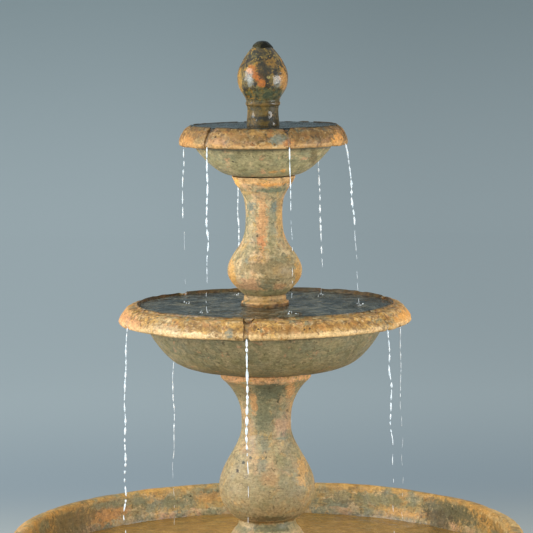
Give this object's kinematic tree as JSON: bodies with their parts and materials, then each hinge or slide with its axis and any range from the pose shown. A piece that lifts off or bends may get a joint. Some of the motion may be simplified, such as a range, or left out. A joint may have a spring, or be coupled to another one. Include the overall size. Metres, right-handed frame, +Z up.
{
  "type": "tiered water fountain",
  "caption": "Garden fountain of cast stone: a wide basin on a hollow base, turned pedestals carrying shallow bowls with spillways, and a bud finial fed by a pump.",
  "frame": {"origin": "centre of the base's foot, on the ground", "axes": "+Z up along the fountain's axis, -Y towards the front, +X to the viewer's right"},
  "size_m": [1.244, 1.244, 1.6555],
  "materials": {
    "aged_cast_stone": "matte, mottled",
    "black_rubber": "matte",
    "black_plastic": "satin",
    "dial_plastic": "satin",
    "impeller_plastic": "satin",
    "rotor_magnet": "matte",
    "shaft_ceramic": "polished",
    "tube_plastic": "smooth",
    "copper": "dulled",
    "stainless_steel": "bright",
    "pad_plastic": "matte",
    "water": "clear"
  },
  "bodies": {
    "root": {"base_pedestal": "aged_cast_stone", "basin": "aged_cast_stone", "cable_gland": "black_plastic", "hose_clamp": "stainless_steel", "hose_clamp_screw": "stainless_steel", "lead_stopper": "black_rubber", "levelling_pads_base": "pad_plastic", "levelling_pads_foot": "pad_plastic", "levelling_pads_middle": "pad_plastic", "levelling_pads_top": "pad_plastic", "levelling_pads_upper": "pad_plastic", "lower_pedestal": "aged_cast_stone", "middle_bowl": "aged_cast_stone", "middle_bowl_stopper": "black_rubber", "outlet_barb": "black_plastic", "pump_bush_front": "black_rubber", "pump_bush_rear": "black_rubber", "pump_housing": "aged_cast_stone", "pump_motor": "black_plastic", "pump_shaft": "shaft_ceramic", "pump_volute": "black_plastic", "riser_tube": "tube_plastic", "suction_feet": "black_rubber", "top_bowl": "aged_cast_stone", "top_bowl_stopper": "black_rubber", "upper_pedestal": "aged_cast_stone", "volute_screws": "stainless_steel", "volute_seal": "black_rubber"},
    "impeller": {"pump_impeller": "impeller_plastic", "pump_rotor": "rotor_magnet"},
    "strainer": {"pump_strainer": "black_plastic"},
    "dial": {"flow_dial": "dial_plastic"},
    "finial": {"finial": "aged_cast_stone", "finial_nozzle": "copper"},
    "drain_plug": {"drain_plug": "black_rubber"}
  },
  "joints": [
    {"name": "finial_lift", "type": "slide", "parent": "root", "child": "finial", "axis": [0, 0, 1], "range_m": [0, 0.06]},
    {"name": "impeller_spin", "type": "hinge", "parent": "root", "child": "impeller", "pos_m": [0, 0, 0.304], "axis": [1, 0, 0], "continuous": true},
    {"name": "strainer_pull", "type": "slide", "parent": "root", "child": "strainer", "axis": [1, 0, 0], "range_m": [0, 0.02]},
    {"name": "flow_dial_turn", "type": "hinge", "parent": "strainer", "child": "dial", "pos_m": [0.056, 0, 0.304], "axis": [1, 0, 0], "range_deg": [0, 45]},
    {"name": "drain_plug_pull", "type": "slide", "parent": "root", "child": "drain_plug", "axis": [0, 0, 1], "range_m": [0, 0.06]}
  ]
}
